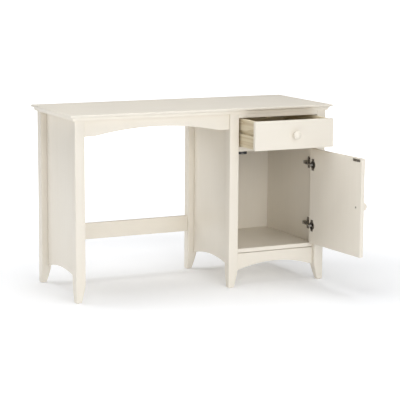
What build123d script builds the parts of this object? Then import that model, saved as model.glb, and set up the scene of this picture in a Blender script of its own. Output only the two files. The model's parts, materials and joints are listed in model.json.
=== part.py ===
from build123d import *
from math import atan, cos, radians, sin
import os

# A writing desk in painted wood: a wide top on a left-hand end frame and, on the right, a pedestal
# with one drawer over a cupboard. The drawer is part open and the cupboard door stands open.
# Millimetres. X runs along the desk, Y from front to back, Z up from the floor.

# Overall sizes of the closed desk
desk_width = 1200
desk_depth = 480
desk_height = 770

# Top board and its moulded edge
top_thickness = 25
side_overhang = 24
front_overhang = 20
back_overhang = 10
top_arris = 3
lip_height = 8.5
quirk = 2.5
cove_radius = 11.5
cove_fillet = 1.5

# Legs, glides and the curved feet
leg_size = 42
leg_arris = 2.5
glide_height = 2
glide_radius = 9
foot_height = 75
foot_width = 25
foot_bulge = 1.4

# End frames and pedestal
pedestal_width = 460
panel_thickness = 15
end_arch_crown = 104
end_arch_spring = 78

# Kneehole
rail_thickness = 18
face_recess = 20
knee_recess = 12
apron_end_height = 66
apron_crown_height = 37
apron_flat = 30
apron_ogee_radius = 165
back_rail_height = 75
back_rail_recess = 12
back_rail_thickness = 20
stretcher_bottom = 176
stretcher_height = 70

# Pedestal carcass
top_rail_height = 18
top_rail_recess = 0.5
drawer_opening_height = 125
divider_height = 20
rail_depth = 60
floor_top = 163
floor_thickness = 17
floor_gap = 3
front_arch_crown = 99
front_arch_spring = 66
back_panel_thickness = 6
back_panel_recess = 4
back_groove_depth = 4
batten_size = 18

# Drawer
front_gap = 2
front_thickness = 18
edge_round = 1.5
drawer_side_thickness = 15
drawer_side_gap = 9
drawer_side_drop = 1.5
drawer_side_lift = 2
drawer_length = 380
drawer_back_thickness = 12
drawer_bottom_thickness = 5
drawer_bottom_lift = 8
bottom_groove_depth = 5
runner_height = 15
runner_engagement = 7
runner_clearance = 0.5
runner_centre_below_front_top = 57
drawer_pull = 163
drawer_travel = 300
stop_size = 25
stop_drop = 33
stop_gap = 0.5

# Knobs
knob_radius = 17
knob_reach = 34
knob_neck_radius = 7
knob_foot_radius = 9.5
door_knob_inset = 34
door_knob_height = 373

# Door and its concealed hinges
door_angle = 94.6
pivot_inset = 0.4
inner_edge = 24.5
hinge_heights = (244, 511)
cup_inset = 22
cup_radius = 17.5
cup_depth = 11.5
cup_wall = 1.5
cup_rim = 0.7
cup_screw_rise = 21
cup_plate_height = 50
cup_plate_width = 18
cup_plate_thickness = 1.2
plate_height = 50
plate_width = 18
plate_thickness = 3
plate_setback = 20
screw_rise = 17
arm_length = 42
arm_height = 13
arm_width = 14
arm_wall = 1.5
arm_setback = 4
arm_fork = 17
arm_screw_setback = 4
link_pivot_inset = 12
link_pivot_setback = 15
link_thickness = 3
link_width = 9
link_eye_radius = 4.5
link_pin_radius = 2
pin_clearance = 0.08
link_bends = ((-19, -36), (-19, -50), (-10, -62))
link_bend_radius = 5

# Magnetic catch and strike plate
catch_width = 46
catch_height = 15
catch_depth = 20
catch_ear = 12.5
catch_ear_setback = 3
catch_inset = 14
catch_gap = 0.4
strike_width = 48
strike_height = 11
strike_thickness = 1.2
strike_inset = 11
strike_drop = 4
strike_screw_inset = 8

# Fixings
dowel_radius = 4
dowel_depth = 20
block_size = 25
block_length = 40
screw_radius = 2
screw_head_height = 2
hole_clearance = 0.1
screw_grip = 15
knob_screw_grip = 20
small_screw_radius = 1.5

# Lines that the pieces share, seen from above
rest_swing = radians(door_angle)
legs_depth = desk_depth - front_overhang - back_overhang
door_width = pedestal_width - 2 * leg_size - 2 * front_gap
hinge_side_gap = front_gap - pivot_inset
pivot_depth = front_thickness + face_recess - inner_edge
door_reach = (door_width + hinge_side_gap) * sin(rest_swing) - inner_edge * cos(rest_swing)

# The origin is on the floor, half way along X and half way between the back of the top and the
# free edge of the open door
front_y = (door_reach - pivot_depth - legs_depth - back_overhang) / 2
back_y = front_y + legs_depth
left_x = -desk_width / 2 + side_overhang
right_x = desk_width / 2 - side_overhang
pedestal_x = right_x - pedestal_width
under_top = desk_height - top_thickness
centre_y = (front_y + back_y) / 2

knee_left = left_x + leg_size
knee_right = pedestal_x
bay_left = pedestal_x + leg_size
bay_right = right_x - leg_size
bay_centre = (bay_left + bay_right) / 2
legs_inner_front = front_y + leg_size
legs_inner_back = back_y - leg_size
face_y = front_y + face_recess
knee_face_y = front_y + knee_recess

drawer_top = under_top - top_rail_height
drawer_sill = drawer_top - drawer_opening_height
door_top = drawer_sill - divider_height
floor_bottom = floor_top - floor_thickness
back_panel_y = back_y - back_panel_recess - back_panel_thickness
back_rail_y = back_y - back_rail_recess - back_rail_thickness

Z_UP = (0, 0, 1)
Z_DOWN = (0, 0, -1)
X_RIGHT = (1, 0, 0)
X_LEFT = (-1, 0, 0)
TO_FRONT = (0, -1, 0)
TO_BACK = (0, 1, 0)

os.makedirs("parts", exist_ok=True)


def save(piece, label):
    """Label a finished piece and write it as its own file."""
    piece.part.label = label
    export_step(piece.part, f"parts/{label}.step")


def block(x, y, z, mode=Mode.ADD, frame=Plane.XY):
    """Add or cut a block given by its ranges along the three axes of a frame."""
    centre = ((x[0] + x[1]) / 2, (y[0] + y[1]) / 2, (z[0] + z[1]) / 2)
    with Locations(frame.location * Location(centre)):
        Box(x[1] - x[0], y[1] - y[0], z[1] - z[0], mode=mode)


def seat(point, facing, frame=Plane.XY):
    """A plane at a point, facing a direction, both in the axes of a frame."""
    return Plane(frame.location * Plane(origin=point, z_dir=facing).location)


def drill(seats, radius, depth):
    """Bore a blind hole under each seat, into the piece being built."""
    with Locations(*[place.location for place in seats]):
        Cylinder(radius, depth, align=(Align.CENTER, Align.CENTER, Align.MAX), mode=Mode.SUBTRACT)


def screws(seats, length, radius=screw_radius):
    """Pan-headed screws, one on each seat, pointing down into it."""
    with BuildPart() as made:
        with Locations(*[place.location for place in seats]):
            Cylinder(2 * radius, screw_head_height, align=(Align.CENTER, Align.CENTER, Align.MIN))
            Cylinder(radius, length, align=(Align.CENTER, Align.CENTER, Align.MAX))
    return made


# Dowels lie along X, half in a rail and half in a leg
knee_joints = (knee_left, knee_right)
bay_joints = (bay_left, bay_right)
apron_mid_y = knee_face_y + rail_thickness / 2
rail_mid_y = face_y + rail_thickness / 2
back_mid_y = back_rail_y + back_rail_thickness / 2
apron_dowels = [(x, apron_mid_y, under_top - h) for x in knee_joints for h in (18, 48)]
back_rail_dowels = [(x, back_mid_y, under_top - h) for x in knee_joints for h in (18, 56)]
stretcher_dowels = [(x, back_mid_y, stretcher_bottom + h) for x in knee_joints for h in (18, 52)]
top_rail_dowels = [(x, rail_mid_y, under_top - top_rail_height / 2) for x in bay_joints]
divider_dowels = [(x, rail_mid_y, door_top + divider_height / 2) for x in bay_joints]
front_apron_dowels = [(x, rail_mid_y, floor_bottom - floor_gap - 18) for x in bay_joints]
knee_dowels = apron_dowels + back_rail_dowels + stretcher_dowels
bay_dowels = top_rail_dowels + divider_dowels + front_apron_dowels
all_dowels = knee_dowels + bay_dowels


def dowel_holes(places):
    """Cut the two-sided holes for dowels into the piece being built."""
    with Locations(*places):
        Cylinder(dowel_radius + hole_clearance, 2 * dowel_depth, rotation=(0, 90, 0), mode=Mode.SUBTRACT)


def foot_cut(plane, inward):
    """The curved hollow that narrows a foot on one inner face, through the whole leg."""
    start = (inward * leg_size, foot_height)
    middle = (inward * ((leg_size + foot_width) / 2 + foot_bulge), foot_height / 2)
    end = (inward * foot_width, 0)
    outside = inward * (leg_size + 5)
    with BuildSketch(plane) as hollow:
        with BuildLine():
            ThreePointArc(start, middle, end)
            Polyline(end, (outside, 0), (outside, foot_height), start)
        make_face()
    extrude(hollow.sketch, amount=2 * leg_size, both=True, mode=Mode.SUBTRACT)


def leg(label, x, y, inward_x, inward_y, back_groove=False):
    """A square leg given by its outer corner, with the foot narrowed on its two inner faces."""
    x_range = sorted((x, x + inward_x * leg_size))
    y_range = sorted((y, y + inward_y * leg_size))
    beside = [place for place in all_dowels if y_range[0] < place[1] < y_range[1]]
    holes = [place for place in beside if x_range[0] <= place[0] <= x_range[1]]
    with BuildPart() as made:
        block(x_range, y_range, (glide_height, under_top))
        fillet(made.edges().filter_by(Axis.Z), leg_arris)
        foot_cut(Plane((x, y, 0), x_dir=X_RIGHT, z_dir=TO_FRONT), inward_x)
        foot_cut(Plane((x, y, 0), x_dir=TO_BACK, z_dir=X_RIGHT), inward_y)
        if holes:
            dowel_holes(holes)
        if back_groove:
            groove_x = (bay_left - back_groove_depth, bay_right + back_groove_depth)
            groove_y = (back_panel_y, back_panel_y + back_panel_thickness)
            block(groove_x, groove_y, (floor_bottom - floor_gap, under_top), Mode.SUBTRACT)
    save(made, label)
    return (x + inward_x * foot_width / 2, y + inward_y * foot_width / 2, 0)


foot_centres = [
    leg("left_front_leg", left_x, front_y, 1, 1),
    leg("left_rear_leg", left_x, back_y, 1, -1),
    leg("pedestal_front_left_leg", pedestal_x, front_y, 1, 1),
    leg("pedestal_rear_left_leg", pedestal_x, back_y, 1, -1, back_groove=True),
    leg("pedestal_front_right_leg", right_x, front_y, -1, 1),
    leg("pedestal_rear_right_leg", right_x, back_y, -1, -1, back_groove=True),
]

with BuildPart() as foot_glides:
    with Locations(*foot_centres):
        Cylinder(glide_radius, glide_height, align=(Align.CENTER, Align.CENTER, Align.MIN))
save(foot_glides, "foot_glides")

# Desk top: rounded upper arris and a cove under the lip on the front and both ends
top_x = (-desk_width / 2, desk_width / 2)
top_y = (front_y - front_overhang, back_y + back_overhang)
cove_top = desk_height - lip_height
cove_depth = quirk + cove_radius
end_block_x = knee_left + block_size / 2
end_block_places = [(end_block_x, y) for y in (centre_y - 110, centre_y + 110)]
knee_block_place = ((knee_left + knee_right) / 2, back_rail_y - block_size / 2)
bay_block_x = (bay_centre - 130, bay_centre + 130)
bay_block_places = [(x, back_panel_y - block_size / 2) for x in bay_block_x]
rail_screw_places = [(x, face_y + rail_depth - 15) for x in bay_block_x]
top_screw_places = end_block_places + [knee_block_place] + bay_block_places + rail_screw_places
top_screw_seats = [seat((x, y, drawer_top), Z_DOWN) for x, y in top_screw_places]
top_screw_length = top_rail_height + screw_grip
drawer_back_reach = front_thickness + drawer_length - drawer_back_thickness
stop_back_y = face_y + drawer_back_reach - drawer_travel - stop_gap
stop_bottom = under_top - stop_drop
stop_seats = [seat((bay_centre, stop_back_y - stop_size / 2, stop_bottom), Z_DOWN)]
stop_screw_length = stop_drop + screw_grip
with BuildPart() as desk_top:
    block(top_x, top_y, (under_top, desk_height))
    upper_face = desk_top.faces().sort_by(Axis.Z)[-1]
    fillet(upper_face.edges().sort_by(Axis.Y)[:-1], top_arris)
    with BuildLine() as moulded_edges:
        Polyline(
            (top_x[0], top_y[1] + 1, cove_top),
            (top_x[0], top_y[0], cove_top),
            (top_x[1], top_y[0], cove_top),
            (top_x[1], top_y[1] + 1, cove_top),
        )
    with BuildSketch(Plane((top_x[0], top_y[1] + 1, cove_top), x_dir=X_LEFT, z_dir=TO_BACK)):
        with BuildLine():
            Polyline((1, 0), (-quirk, 0))
            ThreePointArc(
                (-quirk, 0),
                (-quirk - cove_radius * sin(radians(45)), cove_radius * (cos(radians(45)) - 1)),
                (-cove_depth, -cove_radius),
            )
            Polyline(
                (-cove_depth, -cove_radius),
                (-cove_depth - cove_fillet, -cove_radius),
                (-cove_depth - cove_fillet, under_top - cove_top - 1),
                (1, under_top - cove_top - 1),
                (1, 0),
            )
        make_face()
    sweep(transition=Transition.RIGHT, mode=Mode.SUBTRACT)
    drill(top_screw_seats, screw_radius + hole_clearance, top_screw_length)
    drill(stop_seats, screw_radius + hole_clearance, stop_screw_length)
save(desk_top, "desk_top")


# Screws that hold the drawer runners and the hinge plates to the pedestal sides
panel_screw_grip = panel_thickness - 4
runner_z = drawer_top - front_gap - runner_centre_below_front_top
runner_y = (face_y + front_thickness + 5, legs_inner_back)
runner_reach = drawer_side_gap + runner_engagement


def runner_screw_seats(wall_x, inward):
    """Seats of a runner's three screws, sunk so that their heads are flush."""
    head_x = wall_x + inward * (runner_reach - screw_head_height)
    along = (runner_y[0] + 40, (runner_y[0] + runner_y[1]) / 2, runner_y[1] - 40)
    return [seat((head_x, y, runner_z), (inward, 0, 0)) for y in along]


left_runner_seats = runner_screw_seats(bay_left, 1)
right_runner_seats = runner_screw_seats(bay_right, -1)
runner_screw_length = runner_reach - screw_head_height + panel_screw_grip

door_inner_y = face_y + front_thickness
plate_x = bay_right - plate_thickness
plate_y = door_inner_y + plate_setback
plate_screw_z = [height + offset for height in hinge_heights for offset in (-screw_rise, screw_rise)]
plate_seats = [seat((plate_x, plate_y, z), X_LEFT) for z in plate_screw_z]
plate_screw_length = plate_thickness + panel_screw_grip


def arched_panel(label, x, runner_seats=(), hinge_seats=()):
    """A side panel between a front and a rear leg, hollowed to an arch at the floor."""
    reach = (legs_inner_back - legs_inner_front) / 2
    with BuildPart() as made:
        with BuildSketch(Plane((x[0], centre_y, 0), x_dir=TO_BACK, z_dir=X_RIGHT)) as outline:
            with BuildLine():
                ThreePointArc((-reach, end_arch_spring), (0, end_arch_crown), (reach, end_arch_spring))
                Polyline((reach, end_arch_spring), (reach, under_top), (-reach, under_top))
                Line((-reach, under_top), (-reach, end_arch_spring))
            make_face()
        extrude(outline.sketch, amount=x[1] - x[0])
        if runner_seats:
            drill(runner_seats, screw_radius + hole_clearance, runner_screw_length)
        if hinge_seats:
            drill(hinge_seats, screw_radius + hole_clearance, plate_screw_length)
    save(made, label)


arched_panel("left_end_panel", (knee_left - panel_thickness, knee_left))
arched_panel("pedestal_left_panel", (bay_left - panel_thickness, bay_left), left_runner_seats)
right_panel_x = (bay_right, bay_right + panel_thickness)
arched_panel("pedestal_right_panel", right_panel_x, right_runner_seats, plate_seats)

# Kneehole apron: level ends, then a shallow arch joined to them by a small reversed curve
knee_x = (knee_left, knee_right)
knee_centre = (knee_left + knee_right) / 2
knee_half = (knee_right - knee_left) / 2
apron_end_z = under_top - apron_end_height
apron_crown_z = under_top - apron_crown_height
apron_run = knee_half - apron_flat
apron_turn = 2 * atan((apron_crown_z - apron_end_z) / apron_run)
apron_radius = apron_run / sin(apron_turn) - apron_ogee_radius
ogee_x = apron_radius * sin(apron_turn)
ogee_z = apron_crown_z - apron_radius * (1 - cos(apron_turn))
ogee_mid_x = apron_run - apron_ogee_radius * sin(apron_turn / 2)
ogee_mid_z = apron_end_z + apron_ogee_radius * (1 - cos(apron_turn / 2))
with BuildPart() as kneehole_apron:
    with BuildSketch(Plane((knee_centre, knee_face_y + rail_thickness, 0), x_dir=X_RIGHT, z_dir=TO_FRONT)):
        with BuildLine():
            Polyline((-apron_run, apron_end_z), (-knee_half, apron_end_z), (-knee_half, under_top))
            Polyline((-knee_half, under_top), (knee_half, under_top), (knee_half, apron_end_z))
            Line((knee_half, apron_end_z), (apron_run, apron_end_z))
            ThreePointArc((apron_run, apron_end_z), (ogee_mid_x, ogee_mid_z), (ogee_x, ogee_z))
            ThreePointArc((ogee_x, ogee_z), (0, apron_crown_z), (-ogee_x, ogee_z))
            ThreePointArc((-ogee_x, ogee_z), (-ogee_mid_x, ogee_mid_z), (-apron_run, apron_end_z))
        make_face()
    extrude(amount=rail_thickness)
    dowel_holes(apron_dowels)
save(kneehole_apron, "kneehole_apron")

back_rail_depth = (back_rail_y, back_rail_y + back_rail_thickness)
with BuildPart() as kneehole_back_rail:
    block(knee_x, back_rail_depth, (under_top - back_rail_height, under_top))
    dowel_holes(back_rail_dowels)
save(kneehole_back_rail, "kneehole_back_rail")

with BuildPart() as back_stretcher:
    block(knee_x, back_rail_depth, (stretcher_bottom, stretcher_bottom + stretcher_height))
    fillet(back_stretcher.edges().filter_by(Axis.X), edge_round)
    dowel_holes(stretcher_dowels)
save(back_stretcher, "back_stretcher")

# Pedestal rails, floor and back
bay_x = (bay_left, bay_right)
rail_y = (face_y, face_y + rail_depth)
with BuildPart() as drawer_top_rail:
    block(bay_x, (front_y + top_rail_recess, rail_y[1]), (drawer_top, under_top))
    dowel_holes(top_rail_dowels)
    drill(top_screw_seats, screw_radius + hole_clearance, top_screw_length)
save(drawer_top_rail, "drawer_top_rail")

catch_x = (bay_left + catch_inset, bay_left + catch_inset + catch_width)
catch_y = door_inner_y + strike_thickness + catch_gap
catch_range = (catch_y, catch_y + catch_depth)
catch_bottom = door_top - catch_height
catch_screw_x = (catch_x[0] + catch_ear / 2, catch_x[1] - catch_ear / 2)
catch_seats = [seat((x, catch_y + catch_depth / 2, catch_bottom), Z_DOWN) for x in catch_screw_x]
catch_screw_length = catch_height + divider_height / 2
with BuildPart() as drawer_divider_rail:
    block(bay_x, rail_y, (door_top, drawer_sill))
    dowel_holes(divider_dowels)
    drill(catch_seats, screw_radius + hole_clearance, catch_screw_length)
save(drawer_divider_rail, "drawer_divider_rail")

with BuildPart() as cupboard_floor:
    block(bay_x, (face_y, back_panel_y), (floor_bottom, floor_top))
save(cupboard_floor, "cupboard_floor")

batten_y = (face_y + rail_thickness, legs_inner_back)
with BuildPart() as floor_battens:
    block((bay_left, bay_left + batten_size), batten_y, (floor_bottom - batten_size, floor_bottom))
    block((bay_right - batten_size, bay_right), batten_y, (floor_bottom - batten_size, floor_bottom))
save(floor_battens, "floor_battens")

front_apron_top = floor_bottom - floor_gap
bay_half = (bay_right - bay_left) / 2
with BuildPart() as pedestal_front_apron:
    with BuildSketch(Plane((bay_centre, face_y + rail_thickness, 0), x_dir=X_RIGHT, z_dir=TO_FRONT)):
        with BuildLine():
            ThreePointArc(
                (-bay_half, front_arch_spring), (0, front_arch_crown), (bay_half, front_arch_spring)
            )
            Polyline((bay_half, front_arch_spring), (bay_half, front_apron_top), (-bay_half, front_apron_top))
            Line((-bay_half, front_apron_top), (-bay_half, front_arch_spring))
        make_face()
    extrude(amount=rail_thickness)
    dowel_holes(front_apron_dowels)
save(pedestal_front_apron, "pedestal_front_apron")

back_panel_x = (bay_left - back_groove_depth, bay_right + back_groove_depth)
with BuildPart() as pedestal_back_panel:
    block(back_panel_x, (back_panel_y, back_panel_y + back_panel_thickness), (front_apron_top, under_top))
save(pedestal_back_panel, "pedestal_back_panel")

with BuildPart() as rail_dowels:
    with Locations(*all_dowels):
        Cylinder(dowel_radius, 2 * dowel_depth, rotation=(0, 90, 0))
save(rail_dowels, "rail_dowels")

# Fixings under the top
block_z = (drawer_top, under_top)
half_size = block_size / 2
half_length = block_length / 2
with BuildPart() as top_fixing_blocks:
    for x, y in end_block_places:
        block((x - half_size, x + half_size), (y - half_length, y + half_length), block_z)
    for x, y in [knee_block_place] + bay_block_places:
        block((x - half_length, x + half_length), (y - half_size, y + half_size), block_z)
    drill(top_screw_seats, screw_radius + hole_clearance, top_screw_length)
save(top_fixing_blocks, "top_fixing_blocks")
save(screws(top_screw_seats, top_screw_length), "top_fixing_screws")

stop_half = stop_size / 2
with BuildPart() as drawer_stop:
    stop_range = (stop_back_y - stop_size, stop_back_y)
    block((bay_centre - stop_half, bay_centre + stop_half), stop_range, (stop_bottom, under_top))
    drill(stop_seats, screw_radius + hole_clearance, stop_screw_length)
save(drawer_stop, "drawer_stop")
save(screws(stop_seats, stop_screw_length), "drawer_stop_screw")

# Drawer, drawn closed in a frame of its own that is pulled forward
drawer_frame = Plane((0, -drawer_pull, 0), x_dir=X_RIGHT, z_dir=Z_UP)
front_x = (bay_left + front_gap, bay_right - front_gap)
front_range = (face_y, face_y + front_thickness)
drawer_front_z = (drawer_sill + front_gap, drawer_top - front_gap)
side_z = (drawer_front_z[0] + drawer_side_lift, drawer_front_z[1] - drawer_side_drop)
side_y = (front_range[1], front_range[1] + drawer_length)
outer_left = bay_left + drawer_side_gap
outer_right = bay_right - drawer_side_gap
inner_left = outer_left + drawer_side_thickness
inner_right = outer_right - drawer_side_thickness
bottom_low = drawer_front_z[0] + drawer_bottom_lift
bottom_z = (bottom_low, bottom_low + drawer_bottom_thickness)
bottom_x = (inner_left - bottom_groove_depth, inner_right + bottom_groove_depth)
bottom_y = (front_range[1] - bottom_groove_depth, side_y[1])
runner_range = (runner_z - runner_height / 2, runner_z + runner_height / 2)
groove_range = (runner_range[0] - runner_clearance, runner_range[1] + runner_clearance)
groove_depth = runner_engagement + 2 * runner_clearance
drawer_knob_z = (drawer_front_z[0] + drawer_front_z[1]) / 2
knob_screw_length = front_thickness + knob_screw_grip
drawer_knob_seat = seat((bay_centre, front_range[0], drawer_knob_z), TO_FRONT, drawer_frame)
drawer_knob_back = [seat((bay_centre, front_range[1], drawer_knob_z), TO_BACK, drawer_frame)]

with BuildPart() as drawer_front:
    block(front_x, front_range, drawer_front_z, frame=drawer_frame)
    fillet(drawer_front.faces().sort_by(Axis.Y)[0].edges(), edge_round)
    block(bottom_x, bottom_y, bottom_z, Mode.SUBTRACT, drawer_frame)
    drill(drawer_knob_back, screw_radius + hole_clearance, knob_screw_length)
save(drawer_front, "drawer_front")


def drawer_side(label, x, groove_x):
    """A drawer side with its runner groove outside and its bottom groove inside."""
    with BuildPart() as made:
        block(x, side_y, side_z, frame=drawer_frame)
        block(groove_x, side_y, groove_range, Mode.SUBTRACT, drawer_frame)
        block(bottom_x, bottom_y, bottom_z, Mode.SUBTRACT, drawer_frame)
    save(made, label)


drawer_side("drawer_left_side", (outer_left, inner_left), (outer_left, outer_left + groove_depth))
drawer_side("drawer_right_side", (inner_right, outer_right), (outer_right - groove_depth, outer_right))

with BuildPart() as drawer_back:
    drawer_back_y = (side_y[1] - drawer_back_thickness, side_y[1])
    block((inner_left, inner_right), drawer_back_y, (bottom_z[1], side_z[1]), frame=drawer_frame)
save(drawer_back, "drawer_back")

with BuildPart() as drawer_bottom:
    block(bottom_x, bottom_y, bottom_z, frame=drawer_frame)
save(drawer_bottom, "drawer_bottom")


head_radius = 2 * screw_radius + hole_clearance


def runner(label, wall_x, inward, seats):
    """A hardwood runner on a side wall, standing into the drawer side's groove."""
    with BuildPart() as made:
        block(sorted((wall_x, wall_x + inward * runner_reach)), runner_y, runner_range)
        drill([place.offset(screw_head_height) for place in seats], head_radius, screw_head_height)
        drill(seats, screw_radius + hole_clearance, runner_reach)
    save(made, label)


runner("left_drawer_runner", bay_left, 1, left_runner_seats)
runner("right_drawer_runner", bay_right, -1, right_runner_seats)
save(screws(left_runner_seats + right_runner_seats, runner_screw_length), "runner_screws")


def knob(label, place):
    """A turned wooden knob on a seat, with a narrow neck, a round head and a screw hole."""
    head_start = knob_reach * 0.33
    head_widest = knob_reach * 0.64
    bore_radius = screw_radius + hole_clearance
    neck_top = (knob_neck_radius, head_start * 0.8)
    with BuildPart() as made:
        with BuildSketch(Plane(place.origin, x_dir=place.x_dir, z_dir=-place.y_dir)) as profile:
            with BuildLine():
                Polyline((0, knob_reach), (0, knob_screw_grip), (bore_radius, knob_screw_grip))
                Polyline((bore_radius, knob_screw_grip), (bore_radius, 0), (knob_foot_radius, 0))
                Line((knob_foot_radius, 0), (knob_foot_radius, 2))
                ThreePointArc((knob_foot_radius, 2), (knob_neck_radius + 0.6, head_start * 0.45), neck_top)
                ThreePointArc(neck_top, (knob_radius * 0.82, head_start * 1.25), (knob_radius, head_widest))
                Spline((knob_radius, head_widest), (0, knob_reach), tangents=((0, 1), (-1, 0)))
            make_face()
        revolve(profile.sketch, axis=Axis(place.origin, place.z_dir))
    save(made, label)


knob("drawer_knob", drawer_knob_seat)
save(screws(drawer_knob_back, knob_screw_length), "drawer_knob_screw")

# Door, drawn closed in a frame that turns about its hinge pivot
pivot_x = bay_right - pivot_inset
pivot_y = front_y + pivot_depth
door_frame = Plane((pivot_x, pivot_y, 0), x_dir=(cos(rest_swing), sin(rest_swing), 0), z_dir=Z_UP)
door_hinge_x = -hinge_side_gap
door_free_x = door_hinge_x - door_width
door_outer_y = face_recess - pivot_depth
door_z = (floor_top + front_gap, door_top - front_gap)
door_knob_x = door_free_x + door_knob_inset
door_knob_seat = seat((door_knob_x, door_outer_y, door_knob_height), TO_FRONT, door_frame)
door_knob_back = [seat((door_knob_x, inner_edge, door_knob_height), TO_BACK, door_frame)]
cup_x = door_hinge_x - cup_inset
cup_seats = [seat((cup_x, inner_edge, height), TO_BACK, door_frame) for height in hinge_heights]
cup_screw_seats = [
    seat((cup_x, inner_edge + cup_plate_thickness, height + offset), TO_BACK, door_frame)
    for height in hinge_heights
    for offset in (-cup_screw_rise, cup_screw_rise)
]
strike_x = (door_free_x + strike_inset, door_free_x + strike_inset + strike_width)
strike_z = (door_z[1] - strike_drop - strike_height, door_z[1] - strike_drop)
strike_y = (inner_edge, inner_edge + strike_thickness)
strike_middle = (strike_z[0] + strike_z[1]) / 2
strike_screw_x = (strike_x[0] + strike_screw_inset, strike_x[1] - strike_screw_inset)
strike_seats = [seat((x, strike_y[1], strike_middle), TO_BACK, door_frame) for x in strike_screw_x]
small_screw_length = 11

with BuildPart() as door_panel:
    block((door_free_x, door_hinge_x), (door_outer_y, inner_edge), door_z, frame=door_frame)
    outer_face = door_panel.faces().sort_by(Axis(door_frame.origin, door_frame.y_dir))[0]
    fillet(outer_face.edges(), edge_round)
    drill(cup_seats, cup_radius + hole_clearance, cup_depth)
    drill(cup_screw_seats, small_screw_radius + hole_clearance, small_screw_length)
    drill(strike_seats, small_screw_radius + hole_clearance, small_screw_length)
    drill(door_knob_back, screw_radius + hole_clearance, knob_screw_length)
save(door_panel, "door_panel")
knob("door_knob", door_knob_seat)
save(screws(door_knob_back, knob_screw_length), "door_knob_screw")

with BuildPart() as door_strike_plate:
    block(strike_x, strike_y, strike_z, frame=door_frame)
    drill(strike_seats, small_screw_radius + hole_clearance, small_screw_length)
save(door_strike_plate, "door_strike_plate")
save(screws(strike_seats, small_screw_length, small_screw_radius), "strike_plate_screws")
save(screws(cup_screw_seats, small_screw_length, small_screw_radius), "hinge_cup_screws")


def hinge_cup(label, place, height):
    """A pressed cup let into the door, with its plate on the inner face."""
    plate_range = (inner_edge, inner_edge + cup_plate_thickness)
    half_width = cup_plate_width / 2
    half_height = cup_plate_height / 2
    with BuildPart() as made:
        with Locations(place.location):
            Cylinder(cup_radius, cup_depth, align=(Align.CENTER, Align.CENTER, Align.MAX))
            Cylinder(cup_radius + cup_rim, cup_plate_thickness, align=(Align.CENTER, Align.CENTER, Align.MIN))
        plate_across = (cup_x - half_width, cup_x + half_width)
        block(plate_across, plate_range, (height - half_height, height + half_height), frame=door_frame)
        mouth = [place.offset(cup_plate_thickness)]
        drill(mouth, cup_radius - cup_wall, cup_depth + cup_plate_thickness - cup_wall)
        drill(cup_screw_seats, small_screw_radius + hole_clearance, small_screw_length)
    save(made, label)


def hinge_plate(label, height):
    """The plate screwed to the pedestal side."""
    half_width = plate_width / 2
    half_height = plate_height / 2
    with BuildPart() as made:
        plate_along = (plate_y - half_width, plate_y + half_width)
        block((plate_x, bay_right), plate_along, (height - half_height, height + half_height))
        drill(plate_seats, screw_radius + hole_clearance, plate_screw_length)
        drill(arm_screw_seats, screw_radius + hole_clearance, arm_screw_length)
    save(made, label)


def hinge_arm(label, height):
    """A channel open towards the plate, its front end a fork that holds the link pin."""
    half_width = arm_width / 2
    inside = half_width - arm_wall
    with BuildPart() as made:
        block(arm_x, arm_y, (height - half_width, height + half_width))
        block((arm_x[0] + arm_wall, arm_x[1]), arm_y, (height - inside, height + inside), Mode.SUBTRACT)
        block(arm_x, (arm_y[0], arm_y[0] + arm_fork), (height - inside, height + inside), Mode.SUBTRACT)
        with Locations((link_x, link_y, height)):
            Cylinder(link_pin_radius + hole_clearance, 2 * arm_width, mode=Mode.SUBTRACT)
        drill(arm_screw_seats, screw_radius + hole_clearance, arm_screw_length)
    save(made, label)


def hinge_link(label, height):
    """The bent link that reaches round the door's edge into the cup, shown with the door open."""
    with BuildPart() as made:
        with BuildSketch(Plane((link_x, link_y, height - link_width / 2))) as outline:
            with BuildLine() as middle_line:
                FilletPolyline((0, 0), *link_bends, radius=link_bend_radius)
            trace(middle_line.line, line_width=link_thickness)
            Circle(link_eye_radius)
            Circle(link_pin_radius + pin_clearance, mode=Mode.SUBTRACT)
        extrude(outline.sketch, amount=link_width)
    save(made, label)


arm_x = (plate_x - arm_height, plate_x)
arm_y = (door_inner_y + arm_setback, door_inner_y + arm_setback + arm_length)
arm_screw_y = arm_y[0] + arm_fork + arm_screw_setback
arm_screw_seats = [seat((arm_x[0], arm_screw_y, height), X_LEFT) for height in hinge_heights]
arm_screw_length = arm_height + plate_thickness
link_x = bay_right - link_pivot_inset
link_y = door_inner_y + link_pivot_setback
for name, height, place in zip(("lower", "upper"), hinge_heights, cup_seats):
    hinge_cup(f"{name}_hinge_cup", place, height)
    hinge_plate(f"{name}_hinge_plate", height)
    hinge_arm(f"{name}_hinge_arm", height)
    hinge_link(f"{name}_hinge_link", height)

save(screws(plate_seats, plate_screw_length), "hinge_plate_screws")
save(screws(arm_screw_seats, arm_screw_length), "hinge_arm_screws")

with BuildPart() as hinge_pins:
    with Locations(*[(link_x, link_y, height) for height in hinge_heights]):
        Cylinder(link_pin_radius, arm_width)
save(hinge_pins, "hinge_pins")

# Magnetic catch under the divider rail, its two screw ears set back behind the strike plate's screws
with BuildPart() as door_catch:
    block(catch_x, catch_range, (catch_bottom, door_top))
    for ear_x in ((catch_x[0], catch_x[0] + catch_ear), (catch_x[1] - catch_ear, catch_x[1])):
        block(ear_x, (catch_y, catch_y + catch_ear_setback), (catch_bottom, door_top), Mode.SUBTRACT)
    drill(catch_seats, screw_radius + hole_clearance, catch_screw_length)
save(door_catch, "door_catch")
save(screws(catch_seats, catch_screw_length), "catch_screws")
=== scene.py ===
import json
import math

import bmesh
import bpy
from bpy.props import FloatProperty, FloatVectorProperty, PointerProperty
from bpy.types import Operator, Panel, PropertyGroup
from mathutils import Matrix, Vector

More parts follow.
